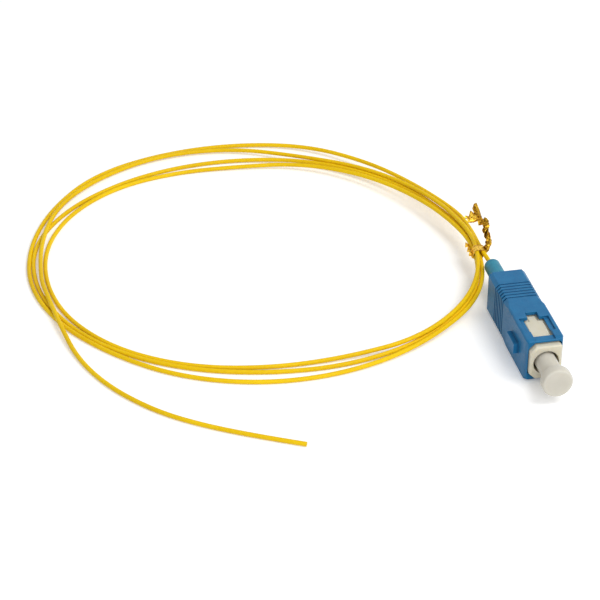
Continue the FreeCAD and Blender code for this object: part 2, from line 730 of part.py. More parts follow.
def polygon(name, corners):
    shape = doc.addObject("Part::Polygon", name)
    shape.Nodes = corners
    shape.Close = True
    return shape


def ruled_loft(name, sections, closed=False):
    feature = doc.addObject("Part::Loft", name)
    feature.Sections = sections
    feature.Solid = True
    feature.Ruled = True
    feature.Closed = closed
    return feature


def make_fibre_coil():
    """One closed ring of the coil's outer shape: round in the tie, fanned out where it lies loose."""
    count = len(COIL_STATIONS) * SECTIONS_PER_STEP
    sections = [polygon("coil_section", coil_section(k / SECTIONS_PER_STEP)) for k in range(count)]
    coil = ruled_loft("fibre_coil", sections, closed=True)
    coil.Label = "fibre_coil"
    return coil


def make_fibre_tail():
    """The fibre from the coil to its cut end."""
    radius = coil_station((TAIL_LEAVES - COIL_START) / COIL_STEP)[0]
    start = COIL_MIDDLE + outward_at(TAIL_LEAVES) * radius
    points = [start + Vector(along, across, fibre_radius.value + lift) for along, across, lift in TAIL_POINTS]
    return make_tube("fibre_tail", points)


# The twist tie: a foil band round the bundle, a twisted strip and a fanned end
def tie_cylinder(name, radius):
    """A cylinder along the bundle inside the tie."""
    cylinder = doc.addObject("Part::Cylinder", name)
    bind(cylinder, "Radius", radius)
    bind(cylinder, "Height", size("tie_band_width"))
    cylinder.Placement.Rotation = FreeCAD.Rotation(Vector(0, 0, 1), Vector(1, 0, 0))
    bind(cylinder, "Placement.Base.x", boot_back - size("tie_setback") - size("tie_band_width") / 2)
    bind(cylinder, "Placement.Base.y", TIE_ACROSS)
    bind(cylinder, "Placement.Base.z", bundle_radius + coil_station(0)[2])
    return cylinder


def strip_places(points):
    """Places from the side of the tie's band, as places in the part's frame."""
    side = TIE_MIDDLE + Vector(0, bundle_radius.value + size("tie_gauge").value / 2, 0)
    return [side + Vector(*point) for point in points]


def strip_section(number):
    """A section of the twisted strip, across its run, turned on from the last one."""
    points = strip_places(TIE_STRIP_POINTS)
    along = (points[min(number + 1, len(points) - 1)] - points[max(number - 1, 0)]).normalize()
    level = along.cross(Vector(1, 0, 0)).normalize()
    turn = math.radians(TIE_TWIST * number)
    wide = level * math.cos(turn) + along.cross(level) * math.sin(turn)
    thick = along.cross(wide) * size("tie_gauge").value
    wide = wide * (size("tie_strip").value / 2)
    middle = points[number]
    return polygon("strip_section", [middle + wide + thick, middle + wide - thick,
                                     middle - wide - thick, middle - wide + thick])


def make_fan():
    """The strip's free end, a flat notched blade."""
    corners = strip_places(TIE_FAN_POINTS)
    base, tip, side = corners[0], corners[1], corners[3]
    normal = (tip - base).cross(side - base).normalize()
    flat = [corner - normal * (corner - base).dot(normal) for corner in corners]
    fan = doc.addObject("Part::Extrusion", "tie_fan")
    fan.Base = polygon("fan_outline", flat)
    fan.DirMode = "Custom"
    fan.Dir = normal
    fan.Solid = True
    bind(fan, "LengthFwd", size("tie_gauge"))
    return fan


def make_twist_tie():
    band = doc.addObject("Part::Cut", "tie_band")
    band.Base = tie_cylinder("tie_band_outside", bundle_radius + size("tie_gauge"))
    band.Tool = tie_cylinder("tie_band_inside", bundle_radius)
    strip = ruled_loft("tie_strip", [strip_section(number) for number in range(len(TIE_STRIP_POINTS))])
    tie = doc.addObject("Part::MultiFuse", "twist_tie")
    tie.Label = "twist_tie"
    tie.Shapes = [band, strip, make_fan()]
    tie.Refine = True
    return tie


pieces = [
    make_outer_housing(), make_plug_frame(), make_ferrule(), make_glass_fibre(), make_ferrule_flange(),
    make_inner_fibre(), make_spring(), make_stop_ring(), make_boot(), make_dust_cap(),
    make_fibre_lead(), make_fibre_coil(), make_fibre_tail(), make_twist_tie(),
]
doc.recompute()

failed = [thing.Label for thing in doc.Objects if "Invalid" in thing.State or "Error" in thing.State]
for piece in pieces:
    shape = piece.Shape
    if shape.isNull() or not shape.isValid() or len(shape.Solids) != 1:
        failed.append(piece.Label)
if failed:
    raise RuntimeError("these did not build: " + ", ".join(failed))

os.makedirs("parts", exist_ok=True)
for piece in pieces:
    box = piece.Shape.BoundBox
    print("%-16s volume %9.3f  x %.2f..%.2f  y %.2f..%.2f  z %.2f..%.2f" % (
        piece.Label, piece.Shape.Volume, box.XMin, box.XMax, box.YMin, box.YMax, box.ZMin, box.ZMax))
    piece.Shape.exportStep("parts/%s.step" % piece.Label)
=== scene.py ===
"""Looks of the fibre optic pigtail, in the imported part's own frame.

Places and sizes are written in millimetres, and point() turns a place into metres.
"""
import math
import random

import bmesh
import bpy
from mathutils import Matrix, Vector


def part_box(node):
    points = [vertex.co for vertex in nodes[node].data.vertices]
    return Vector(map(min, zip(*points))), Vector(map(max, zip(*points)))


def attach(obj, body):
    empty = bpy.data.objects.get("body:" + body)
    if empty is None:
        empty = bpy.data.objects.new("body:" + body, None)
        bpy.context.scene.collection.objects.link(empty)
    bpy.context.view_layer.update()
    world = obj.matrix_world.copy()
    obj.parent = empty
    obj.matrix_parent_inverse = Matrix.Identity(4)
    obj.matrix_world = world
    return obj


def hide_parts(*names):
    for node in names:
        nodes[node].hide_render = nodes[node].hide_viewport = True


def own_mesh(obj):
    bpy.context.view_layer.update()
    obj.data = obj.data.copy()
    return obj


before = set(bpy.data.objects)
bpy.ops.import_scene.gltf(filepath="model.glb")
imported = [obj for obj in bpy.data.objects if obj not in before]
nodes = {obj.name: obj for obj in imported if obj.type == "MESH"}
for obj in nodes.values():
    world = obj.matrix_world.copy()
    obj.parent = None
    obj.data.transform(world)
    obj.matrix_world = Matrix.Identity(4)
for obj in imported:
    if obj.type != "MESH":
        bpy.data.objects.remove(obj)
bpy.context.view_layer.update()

MM = 0.001
AXIS = Vector((1, 0, 0))
UP = Vector((0, 0, 1))
WHITE = (1, 1, 1, 1)
scene = bpy.context.scene
scene.view_settings.view_transform = "Standard"


def point(x, y, z):
    """A place given in millimetres."""
    return Vector((x, y, z)) * MM


def outward_at(degrees):
    """The level direction at an angle from the connector's axis."""
    around = math.radians(degrees)
    return Vector((math.cos(around), math.sin(around), 0))


# Camera: the photograph's viewpoint
CAMERA_PLACE = (310.28, -108.13, 211.9)
CAMERA_TARGET = (-24.16, -39.21, 0.0)
CAMERA_LENS = 120
CAMERA_SENSOR = 36


def aimed(obj, place, target):
    """Put a camera or a lamp at a place, looking at a target."""
    obj.location = point(*place)
    obj.rotation_mode = "QUATERNION"
    obj.rotation_quaternion = (point(*target) - obj.location).to_track_quat("-Z", "Y")
    scene.collection.objects.link(obj)


def make_camera():
    data = bpy.data.cameras.new("camera")
    data.lens = CAMERA_LENS
    data.sensor_width = CAMERA_SENSOR
    camera = bpy.data.objects.new("camera", data)
    aimed(camera, CAMERA_PLACE, CAMERA_TARGET)
    scene.camera = camera


# Materials: a small kit of nodes, then one function for each material
# Soft noise lies mostly in the first range, and a narrower one gives more contrast
NOISE_RANGE = (0.3, 0.7)
STRONG_RANGE = (0.35, 0.65)
FOIL_RANGE = (0.36, 0.56)
# A wave texture turns by this many radians for each unit of its scaled length
WAVE_RADIANS = 20
# The colour sockets of a mix node, whose names are shared with its other kinds
MIX_FIRST = 6
MIX_SECOND = 7
MIX_RESULT = 2
# How far the painted shade in grooves and corners reaches, and how much of it shows
SHADE_REACH = 0.6
SHADE_SHARE = 0.8


def linear(red, green, blue):
    """A colour written in the usual 0 to 255 steps, as the shader takes it."""
    shares = [step / 255 for step in (red, green, blue)]
    return (*[s / 12.92 if s <= 0.04045 else ((s + 0.055) / 1.055) ** 2.4 for s in shares], 1)


class Look:
    """A material in the making: its node tree, its shader and its surface coordinates."""

    def __init__(self, name, roughness, **sockets):
        self.material = bpy.data.materials.new(name)
        self.material.use_nodes = True
        self.tree = self.material.node_tree
        self.shader = self.tree.nodes["Principled BSDF"]
        self.shader.inputs["Roughness"].default_value = roughness
        for words, value in sockets.items():
            socket = words.replace("_", " ").title().replace("Ior", "IOR")
            self.shader.inputs[socket].default_value = value
        self.place = self.add("ShaderNodeTexCoord").outputs["Object"]

    def add(self, kind, **inputs):
        """A new node, with its inputs set to values or linked to outputs."""
        node = self.tree.nodes.new(kind)
        for words, value in inputs.items():
            self.feed(node.inputs[words.replace("_", " ")], value)
        return node

    def feed(self, socket, value):
        if isinstance(value, bpy.types.NodeSocket):
            self.tree.links.new(value, socket)
        else:
            socket.default_value = value

    def noise(self, grain, detail=3.0, stretch=(1, 1, 1)):
        """Soft noise with grains this many millimetres across, and longer along a stretched axis."""
        mapping = self.add("ShaderNodeMapping", Vector=self.place)
        mapping.inputs["Scale"].default_value = [1 / length for length in stretch]
        texture = self.add("ShaderNodeTexNoise", Vector=mapping.outputs["Vector"], Scale=1 / (grain * MM),
                           Detail=detail)
        return texture.outputs["Fac"]

    def cells(self, grain):
        """Distance to the nearest edge of cells this many millimetres across."""
        texture = self.add("ShaderNodeTexVoronoi", Vector=self.place, Scale=1 / (grain * MM))
        texture.feature = "DISTANCE_TO_EDGE"
        return texture.outputs["Distance"]

    def rings(self, pitch, waver):
        """Turning marks about the connector's axis, this many millimetres apart."""
        texture = self.add("ShaderNodeTexWave", Vector=self.place,
                           Scale=math.tau / WAVE_RADIANS / (pitch * MM), Distortion=waver, Detail=2.0)
        texture.bands_direction = "X"
        return texture.outputs["Fac"]

    def edges(self, width):
        """1 near an edge of the piece and 0 on its faces."""
        rounded = self.add("ShaderNodeBevel", Radius=width * MM)
        flat = self.add("ShaderNodeNewGeometry")
        likeness = self.add("ShaderNodeVectorMath")
        likeness.operation = "DOT_PRODUCT"
        self.feed(likeness.inputs[0], rounded.outputs["Normal"])
        self.feed(likeness.inputs[1], flat.outputs["Normal"])
        return self.spread(likeness.outputs["Value"], 1.0, 0.0, start=0.8, end=0.98)

    def hollows(self, reach):
        """1 deep in grooves and corners and 0 on open faces, seen over this many millimetres."""
        node = self.add("ShaderNodeAmbientOcclusion", Distance=reach * MM)
        node.only_local = True
        return self.spread(node.outputs["AO"], 1.0, 0.0, start=0.4, end=0.95)

    def spread(self, value, low, high, start=0.0, end=1.0):
        """A value between start and end, mapped to run from low to high."""
        node = self.add("ShaderNodeMapRange", Value=value, From_Min=start, From_Max=end, To_Min=low,
                        To_Max=high)
        return node.outputs["Result"]

    def mottle(self, grain, noise_range, detail=3.0):
        """Soft noise that runs from 0 to 1 over a range of its own values."""
        return self.spread(self.noise(grain, detail), 0.0, 1.0, *noise_range)

    def blend(self, share, first, second):
        """A colour between two colours."""
        node = self.add("ShaderNodeMix")
        node.data_type = "RGBA"
        self.feed(node.inputs["Factor"], share)
        self.feed(node.inputs[MIX_FIRST], first)
        self.feed(node.inputs[MIX_SECOND], second)
        return node.outputs[MIX_RESULT]

    def colour(self, value):
        self.feed(self.shader.inputs["Base Color"], value)

    def rough(self, value):
        self.feed(self.shader.inputs["Roughness"], value)

    def gloss(self, grain, low, high, stretch=(1, 1, 1)):
        """Let soft noise move the roughness between two levels."""
        self.rough(self.spread(self.noise(grain, stretch=stretch), low, high, *NOISE_RANGE))

    def relief(self, height, depth):
        """Raise and lower the surface by a pattern this many millimetres deep."""
        node = self.add("ShaderNodeBump", Height=height, Distance=depth * MM)
        self.feed(self.shader.inputs["Normal"], node.outputs["Normal"])


def moulded_look(name, *, roughness, dark, light, mottle_grain, mottle_range, edge_highlight_tone, edge_width,
                 edge_share, gloss_grain, gloss_range, relief_grain, relief_depth, painted_groove_shade=None,
                 **sockets):
    """Moulded plastic between two tones, with a painted highlight along its edges, a fine grain, and painted
    shade in its grooves and corners if asked.
    """
    look = Look(name, roughness, **sockets)
    body = look.blend(look.mottle(mottle_grain, mottle_range), linear(*dark), linear(*light))
    # Painted shade: the colour is darkened towards a dark tone deep in grooves and corners, where shade
    # falls
    if painted_groove_shade:
        shade = look.spread(look.hollows(SHADE_REACH), 0.0, SHADE_SHARE)
        body = look.blend(shade, body, linear(*painted_groove_shade))
    # Painted highlight: the colour is paled towards a light tone along the edges
    edge_highlight = look.spread(look.edges(edge_width), 0.0, edge_share)
    look.colour(look.blend(edge_highlight, body, linear(*edge_highlight_tone)))
    look.gloss(gloss_grain, *gloss_range)
    look.relief(look.noise(relief_grain, detail=1.0), relief_depth)
    return look.material


def grip_look():
    return moulded_look(
        "grip_look", roughness=0.42, specular_ior_level=0.25,
        dark=(16, 100, 148), light=(22, 108, 156), mottle_grain=2.2, mottle_range=STRONG_RANGE,
        # The dark tone of the painted shade in the grooves and corners
        painted_groove_shade=(4, 52, 92), edge_highlight_tone=(64, 140, 186), edge_width=0.16, edge_share=0.4,
        gloss_grain=0.35, gloss_range=(0.36, 0.5), relief_grain=0.12, relief_depth=0.006)


def frame_look():
    return moulded_look(
        "frame_look", roughness=0.45, subsurface_weight=0.4, subsurface_scale=1.5 * MM,
        subsurface_radius=(1.0, 0.85, 0.6),
        dark=(207, 201, 180), light=(212, 206, 187), mottle_grain=1.6, mottle_range=NOISE_RANGE,
        edge_highlight_tone=(228, 223, 208), edge_width=0.14, edge_share=0.5,
        gloss_grain=0.3, gloss_range=(0.4, 0.55), relief_grain=0.1, relief_depth=0.005)


def boot_look():
    return moulded_look(
        "boot_look", roughness=0.5,
        dark=(24, 118, 146), light=(34, 134, 160), mottle_grain=1.4, mottle_range=STRONG_RANGE,
        edge_highlight_tone=(84, 164, 188), edge_width=0.2, edge_share=0.4,
        gloss_grain=0.25, gloss_range=(0.42, 0.6), relief_grain=0.09, relief_depth=0.008)


def cap_look():
    return moulded_look(
        "cap_look", roughness=0.45, specular_ior_level=0.3, subsurface_weight=0.6, subsurface_scale=2.5 * MM,
        subsurface_radius=(1.0, 0.95, 0.85),
        dark=(199, 195, 183), light=(204, 200, 189), mottle_grain=1.8, mottle_range=NOISE_RANGE,
        edge_highlight_tone=(218, 214, 205), edge_width=0.2, edge_share=0.15,
        gloss_grain=0.4, gloss_range=(0.34, 0.48), relief_grain=0.14, relief_depth=0.006)


def ferrule_look():
    look = Look("ferrule_look", roughness=0.14, coat_weight=0.4, coat_roughness=0.08)
    look.colour(look.blend(look.mottle(0.9, STRONG_RANGE), linear(236, 234, 228), linear(244, 243, 239)))
    look.gloss(grain=0.2, low=0.1, high=0.2, stretch=(4, 1, 1))
    look.relief(look.noise(0.06, stretch=(6, 1, 1)), depth=0.001)
    return look.material


def glass_look(name):
    look = Look(name, roughness=0.03, transmission_weight=1.0, ior=1.46)
    look.colour(look.blend(look.noise(0.1), linear(232, 242, 242), linear(248, 252, 252)))
    look.rough(look.spread(look.noise(0.05), low=0.02, high=0.06))
    return look.material


def turned_look(name, dark, light, pitch):
    """Metal with turning marks about the connector's axis."""
    look = Look(name, roughness=0.3, metallic=1.0)
    marks = look.rings(pitch, waver=1.5)
    look.colour(look.blend(look.mottle(0.8, STRONG_RANGE), linear(*dark), linear(*light)))
    look.rough(look.spread(marks, low=0.22, high=0.36))
    look.relief(marks, depth=0.004)
    return look.material


def spring_look():
    look = Look("spring_look", roughness=0.28, metallic=1.0)
    look.colour(look.blend(look.mottle(0.4, NOISE_RANGE), linear(178, 178, 180), linear(206, 206, 208)))
    look.gloss(grain=0.08, low=0.2, high=0.36)
    look.relief(look.noise(0.05), depth=0.002)
    return look.material


def buffer_look():
    """The fibre's yellow coating, which drifts slowly along its length and has flecks of painted highlight.
    """
    look = Look("buffer_look", roughness=0.45, specular_ior_level=0.12)
    drift = look.mottle(14, STRONG_RANGE, detail=2.0)
    body = look.blend(drift, linear(230, 188, 10), linear(239, 199, 14))
    # Painted highlight: soft flecks of a paler yellow
    painted_highlight_flecks = look.spread(look.noise(0.7), low=0.0, high=0.3, start=0.4, end=0.7)
    look.colour(look.blend(painted_highlight_flecks, body, linear(243, 211, 40)))
    look.gloss(grain=0.5, low=0.38, high=0.55)
    look.relief(look.noise(0.15, detail=2.0), depth=0.008)
    return look.material


def foil_look(name, shade, glint):
    """Crumpled metal foil with a mottle between a painted shade and a painted glint of gold, and painted
    shade in its creases.
    """
    look = Look(name, roughness=0.35, metallic=0.85)
    creases = look.spread(look.cells(0.7), low=0.0, high=1.0, end=0.06)
    foil = look.blend(look.mottle(0.8, FOIL_RANGE), linear(*shade), linear(*glint))
    # Painted shade: the foil's colour goes dark brown along the creases
    look.colour(look.blend(creases, linear(104, 68, 10), foil))
    look.gloss(grain=0.3, low=0.22, high=0.5)
    look.relief(look.blend(creases, look.noise(0.25), WHITE), depth=0.06)
    return look.material


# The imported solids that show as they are: material and rounded edges
WELD_DISTANCE = 0.001
FLAT_ANGLE = 0.5
EDGE_ANGLE = 35
EDGE_SEGMENTS = 2


def dress(obj, material):
    obj.data.materials.clear()
    obj.data.materials.append(material)


def soften(obj, rounding):
    """Round an object's sharp edges by modifiers, with an edge this many millimetres wide."""
    weld = obj.modifiers.new("joined", "WELD")
    weld.merge_threshold = WELD_DISTANCE * MM
    flat = obj.modifiers.new("flat_faces", "DECIMATE")
    flat.decimate_type = "DISSOLVE"
    flat.angle_limit = math.radians(FLAT_ANGLE)
    edge = obj.modifiers.new("round_edges", "BEVEL")
    edge.width = rounding * MM
    edge.segments = EDGE_SEGMENTS
    edge.limit_method = "ANGLE"
    edge.angle_limit = math.radians(EDGE_ANGLE)
    edge.harden_normals = True
    shade = obj.modifiers.new("shading", "WEIGHTED_NORMAL")
    shade.keep_sharp = False


def dress_solids():
    """Each solid's material and the width of its rounded edges, if it has any."""
    solids = (
        ("outer_housing", grip_look(), 0.09),
        ("plug_frame", frame_look(), 0.08),
        ("boot", boot_look(), 0.1),
        ("dust_cap", cap_look(), 0.1),
        ("ferrule", ferrule_look(), 0.05),
        ("glass_fibre", glass_look("glass_look"), None),
        ("ferrule_flange", turned_look("flange_look", (176, 174, 168), (208, 206, 200), pitch=0.09), 0.06),
        ("stop_ring", turned_look("ring_look", (186, 182, 172), (216, 212, 202), pitch=0.12), 0.06),
    )
    for name, material, rounding in solids:
        dress(nodes[name], material)
        if rounding:
            soften(nodes[name], rounding)


# Meshes made here
def tube(builder, line, radius, sides, up):
    """A closed round tube along a line of places, with flat ends."""
    rows = []
    for number, place in enumerate(line):
        ahead = line[min(number + 1, len(line) - 1)] - line[max(number - 1, 0)]
        across = ahead.cross(up).normalized()
        over = across.cross(ahead).normalized()
        row = []
        for side in range(sides):
            around = math.tau * side / sides
            outward = across * math.cos(around) + over * math.sin(around)
            row.append(builder.verts.new(place + outward * radius))
        rows.append(row)
    for near, far in zip(rows, rows[1:]):
        for side in range(sides):
            builder.faces.new((near[side], near[side - 1], far[side - 1], far[side]))
    builder.faces.new(rows[0])
    builder.faces.new(reversed(rows[-1]))


def finished_mesh(name, builder, material, smooth=True):
    """A new object of a mesh in the making."""
    bmesh.ops.recalc_face_normals(builder, faces=builder.faces)
    mesh = bpy.data.meshes.new(name)
    builder.to_mesh(mesh)
    builder.free()
    for face in mesh.polygons:
        face.use_smooth = smooth
    mesh.materials.append(material)
    obj = bpy.data.objects.new(name, mesh)
    scene.collection.objects.link(obj)
    return obj


# The fibre's route: out of the boot, through the tie, four turns and the tail
FIBRE_DIAMETER = 0.9
FIBRE_RADIUS = FIBRE_DIAMETER / 2
ON_FLOOR = FIBRE_RADIUS
LEAD_POINTS = ((-20.2, 0.0, 4.5), (-23.1, 0.0, 4.5), (-25.5, -0.15, 4.55), (-28.6, -0.45, 4.75),
               (-38.2, 0.0, 4.3))
# Where the coil passes the tie, and how far outside the coil's radius that is; angles are in degrees
COIL_PLACE = (-30.57, -0.92, 0)
TIE_OUTSIDE = 1.9
COIL_RADIUS = 45.0
COIL_START = 74
COIL_STEP = 20
# Each turn's control points, in even steps from the tie: how far outside the coil's radius, and how high
# They follow the strands as they lie in the photograph
TURNS = (
    ((-0.15, 3.75), (-1.45, 2.7), (0.7, 1.6), (3.65, 0.9), (3.85, ON_FLOOR), (3.45, ON_FLOOR),
     (3.55, ON_FLOOR), (1.5, ON_FLOOR), (0.5, ON_FLOOR), (0.65, ON_FLOOR), (0.35, ON_FLOOR),
     (0.3, ON_FLOOR), (1.85, ON_FLOOR), (2.75, ON_FLOOR), (3.1, 0.5), (3.55, 0.95), (5.7, 3.0)),
    ((2.35, 4.0), (-2.05, 3.3), (-3.35, 2.45), (-3.7, 1.6), (-3.35, 0.9), (-3.65, 0.5),
     (-3.7, ON_FLOOR), (-3.1, ON_FLOOR), (-1.6, ON_FLOOR), (-0.25, ON_FLOOR), (-0.4, ON_FLOOR),
     (-0.6, ON_FLOOR), (-0.65, ON_FLOOR), (-0.95, ON_FLOOR), (-0.75, ON_FLOOR), (0.8, ON_FLOOR),
     (2.75, 0.8), (4.75, 2.9)),
    ((1.45, 4.15), (-3.05, 3.6), (-5.0, 2.7), (-5.4, 1.9), (-5.55, 1.1), (-7.2, 0.6),
     (-6.0, ON_FLOOR), (-4.1, ON_FLOOR), (-3.15, ON_FLOOR), (-2.8, ON_FLOOR), (-2.7, ON_FLOOR),
     (-1.95, ON_FLOOR), (-1.55, ON_FLOOR), (-1.85, ON_FLOOR), (-2.5, ON_FLOOR), (-1.8, 0.55),
     (3.0, 1.95), (4.3, 3.85)),
    ((1.8, 5.1), (-1.75, 4.45), (-3.1, 3.3), (-3.05, 2.25), (-2.65, 1.45), (1.3, 0.75),
     (2.5, 0.8), (1.9, 0.6), (0.3, 1.25), (-1.8, 1.45), (-1.9, 1.45)),
)
# The first turn leaves the tie with the lead, so its control points start one step on
FIRST_STATIONS = (1, 0, 0, 0)
# A quadratic spline lies inside its control points by this share on an even turn of the coil
SPLINE_SHARE = (3 + math.cos(math.radians(COIL_STEP))) / 4
# The tail leaves the coil at this angle, and its points are written from there
TAIL_LEAVES = 283
TAIL_OUTSIDE = -1.0
TAIL_POINTS = ((0.0, 0.0, 1.5), (11.0, 1.4, 1.3), (22.0, 3.4, ON_FLOOR), (32.5, 7.8, ON_FLOOR),
               (41.5, 14.5, ON_FLOOR), (47.7, 21.6, ON_FLOOR), (53.9, 31.7, ON_FLOOR),
               (58.5, 40.8, ON_FLOOR))
SPLINE_STEPS = 12
BEVEL_STEPS = 6
# The coated glass at the cut end
CORE_RADIUS = 0.125
CORE_INSIDE = 0.3
CORE_OUTSIDE = 0.04
CORE_SIDES = 16

coil_middle = Vector(COIL_PLACE) - outward_at(COIL_START) * (COIL_RADIUS + TIE_OUTSIDE)


def coil_points():
    """The turns' control points, from the tie round and round to where the tail leaves."""
    places = []
    for first, turn in zip(FIRST_STATIONS, TURNS):
        for number, (outside, height) in enumerate(turn, start=first):
            outward = outward_at(COIL_START + COIL_STEP * number)
            place = coil_middle + outward * ((COIL_RADIUS + outside) / SPLINE_SHARE)
            places.append((place.x, place.y, height))
    return places


def fibre_route():
    """All the control points, from inside the boot to the cut end."""
    start = coil_middle + outward_at(TAIL_LEAVES) * (COIL_RADIUS + TAIL_OUTSIDE)
    tail = [(start.x + along, start.y + across, height) for along, across, height in TAIL_POINTS]
    return list(LEAD_POINTS) + coil_points() + tail


def make_core(before, end):
    """The coated glass that shows in the fibre's cut end."""
    ahead = (end - before).normalized()
    line = [end + ahead * along for along in (-CORE_INSIDE, 0.0, CORE_OUTSIDE)]
    builder = bmesh.new()
    tube(builder, [place * MM for place in line], CORE_RADIUS * MM, CORE_SIDES, UP)
    core = finished_mesh("fibre_core", builder, glass_look("core_look"))
    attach(core, "plug")
    return core


def make_fibre(material, tie):
    """The whole fibre as one cord. The tie argument is not used."""
    data = bpy.data.curves.new("fibre", "CURVE")
    data.dimensions = "3D"
    data.resolution_u = SPLINE_STEPS
    data.bevel_depth = FIBRE_RADIUS * MM
    data.bevel_resolution = BEVEL_STEPS
    data.use_fill_caps = True
    route = fibre_route()
    spline = data.splines.new("NURBS")
    spline.points.add(len(route) - 1)
    for control, place in zip(spline.points, route):
        control.co = (*point(*place), 1)
    spline.order_u = 3
    spline.use_endpoint_u = True
    spline.use_smooth = True
    data.materials.append(material)
    fibre = bpy.data.objects.new("fibre", data)
    scene.collection.objects.link(fibre)
    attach(fibre, "plug")
    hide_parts("fibre_lead", "fibre_coil", "fibre_tail")
    core = make_core(Vector(route[-2]), Vector(route[-1]))


# The spring: round wire with closed ends, between the stop ring and the flange
SPRING_WIRE = 0.35
SPRING_TURNS = 7
SPRING_CLOSED = 1.2
SPRING_STEPS = 28
WIRE_SIDES = 10


def make_spring(material):
    """The spring's wire in the box of its solid."""
    low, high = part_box("spring")
    wire = SPRING_WIRE * MM
    middle = (low + high) / 2
    radius = (high.z - low.z - wire) / 2
    start = low.x + wire / 2
    closed = SPRING_CLOSED * wire
    open_turns = SPRING_TURNS - SPRING_CLOSED * 2
    pitch = (high.x - low.x - wire - closed * 2) / open_turns
    line = []
    for number in range(SPRING_TURNS * SPRING_STEPS + 1):
        turn = number / SPRING_STEPS
        along = min(turn, SPRING_CLOSED) * wire
        along += min(max(turn - SPRING_CLOSED, 0), open_turns) * pitch
        along += max(turn - SPRING_CLOSED - open_turns, 0) * wire
        around = math.tau * turn
        line.append(Vector((start + along, middle.y + radius * math.cos(around),
                            middle.z + radius * math.sin(around))))
    builder = bmesh.new()
    tube(builder, line, wire / 2, WIRE_SIDES, AXIS)
    spring = finished_mesh("spring_coil", builder, material)
    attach(spring, "plug")
    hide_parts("spring")
    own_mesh(spring)


# The foil tie: a strip wound round the bundle, with its ends twisted into a stem and a torn fan
FOIL_GAUGE = 0.07
FOIL_SEED = 7
# The tones of the band's and the stem's foil, in shade and in light; the stem and its folded leaf are the
# same foil as the band, with darker tones as painted shade
BAND_TONES = ((196, 140, 24), (246, 204, 72))
SHADED_STEM_TONES = ((112, 78, 8), (214, 168, 44))
# The tie's place along the connector's axis, and the four strands inside it there, across and up
TIE_MIDDLE = -28.3
TIE_STRANDS = ((-0.36, 4.68), (-0.85, 3.77), (-1.75, 3.86), (-1.48, 4.81))
# How far the strands drift across for each millimetre along
TIE_DRIFT = -0.1
# The band: its width, the shares of it where its rows have places, and its turns round the strands
TIE_WIDTH = 2.2
BAND_SHARES = (-0.5, -0.3, -0.1, 0.1, 0.3, 0.5)
BAND_CRUMPLE = 0.035
TIE_GAP = 0.05
TIE_GROWTH = 0.1
TIE_START = 200
TIE_TURNS = 1.5
TIE_STEPS = 72
# The loose flap along the bundle: where it leaves the strands, across and up, and its torn edge
FLAP_INNER = (-2.2, 4.0)
FLAP_EDGE = ((-31.9, -3.2, 4.8), (-31.1, -3.4, 4.0), (-30.4, -3.0, 4.5), (-29.6, -3.25, 3.8),
             (-28.8, -2.9, 4.3), (-28.1, -3.15, 3.7), (-27.3, -2.8, 4.2), (-26.6, -2.7, 3.9))
FLAP_CRUMPLE = 0.06
# The stem: its middle line, and the two bowed strips that are twisted round each other by an angle
STEM_POINTS = ((-28.3, -0.1, 4.2), (-28.4, 0.6, 4.8), (-28.6, 1.05, 5.8), (-28.9, 1.2, 6.75),
               (-29.5, 0.9, 7.6), (-30.0, 0.75, 8.3), (-30.6, 1.05, 9.0), (-31.1, 1.15, 9.6),
               (-31.5, 0.6, 9.9))
STEM_WIDTH = 1.35
STEM_SHARES = (-0.5, -0.25, 0.0, 0.25, 0.5)
STEM_BOW = 0.3
STEM_BOW_FALL = 3
STEM_LEANS = (0, 90)
STEM_TWIST = 560
STEM_STEPS = 64
STEM_NEARBY = 0.01
STEM_CRUMPLE = 0.07
# The fan's hub and torn edge, and the leaf folded over on it
FAN_HUB = (-31.6, -0.2, 10.2)
FAN_EDGE = ((-31.5, 0.3, 10.5), (-31.2, -0.35, 12.4), (-31.3, -1.1, 14.2), (-31.7, -1.5, 13.8),
            (-31.85, -1.75, 12.65), (-31.4, -1.4, 11.7), (-31.85, -2.15, 12.2), (-31.4, -2.55, 11.1),
            (-31.7, -3.2, 11.2), (-31.5, -3.45, 10.75), (-31.8, -2.8, 10.4), (-31.4, -2.7, 9.7),
            (-31.8, -2.1, 9.3), (-31.4, -1.3, 9.55), (-31.7, -0.55, 9.6), (-31.3, -0.4, 8.75),
            (-31.6, 0.25, 8.6), (-31.3, 0.9, 8.85), (-31.5, 0.85, 9.6))
FOLD_HUB = (-31.15, -0.4, 12.3)
FOLD_EDGE = ((-31.45, 0.3, 10.5), (-31.05, -0.8, 11.4), (-30.95, -1.3, 12.9), (-31.25, -1.1, 14.2))
LEAF_CUTS = 4
LEAF_CRUMPLE = 0.07


def wound(turn, along):
    """A place on the strip round the strands, which touches the strand that stands out most there."""
    around = math.radians(TIE_START) + math.tau * turn
    outward = Vector((0, math.cos(around), math.sin(around)))
    strands = [Vector((TIE_MIDDLE + along, across + TIE_DRIFT * along, up))
               for across, up in TIE_STRANDS]
    strand = max(strands, key=outward.dot)
    return strand + outward * (FIBRE_RADIUS + TIE_GAP + TIE_GROWTH * turn)


def band_rows():
    """The strip wound round the strands, row by row."""
    turns = [TIE_TURNS * number / TIE_STEPS for number in range(TIE_STEPS + 1)]
    return [[wound(turn, TIE_WIDTH * share) for share in BAND_SHARES] for turn in turns]


def flap_rows():
    """The loose flap, from the strands out to its torn edge."""
    rows = []
    for edge in FLAP_EDGE:
        along = edge[0]
        drift = Vector((0, TIE_DRIFT * (along - TIE_MIDDLE), 0))
        inner = Vector((along, *FLAP_INNER)) + drift
        outer = Vector(edge) + drift
        rows.append([inner, (inner + outer) / 2, outer])
    return rows


def between(values, share):
    """A smooth curve through four evenly spaced places, part of the way from the second to the third."""
    before, start, end, after = values
    slope = end - before
    bend = before * 2 - start * 5 + end * 4 - after
    twist = (start - end) * 3 + after - before
    return start + (slope + (bend + twist * share) * share) * (share / 2)


